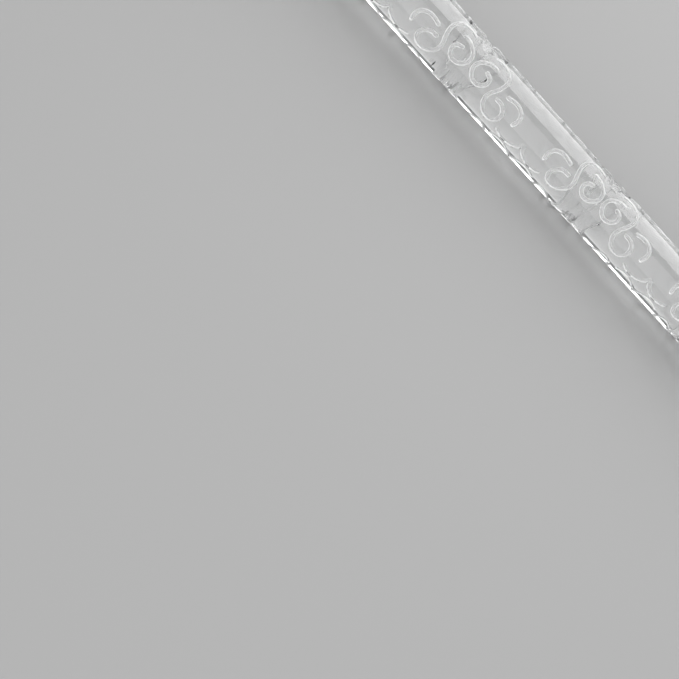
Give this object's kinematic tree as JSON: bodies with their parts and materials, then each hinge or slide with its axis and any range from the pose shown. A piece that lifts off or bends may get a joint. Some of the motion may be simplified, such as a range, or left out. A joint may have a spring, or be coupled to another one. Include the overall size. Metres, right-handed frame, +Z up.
{
  "type": "rolling pin",
  "caption": "Solid clear acrylic rolling pin: a plain round rod with flat ends, its barrel engraved all round with scrolls, half daisies and stars that emboss icing or clay.",
  "frame": {"origin": "middle of the rod's length, straight below its axis, on the plane that the barrel rests on", "axes": "+X along the rod, +Y across it, +Z up"},
  "size_m": [0.33, 0.025, 0.025],
  "materials": {
    "clear_acrylic": "clear solid acrylic with a polished barrel, and satin machined grooves"
  },
  "bodies": {
    "root": {"engraved_rod": "clear_acrylic"}
  },
  "joints": []
}
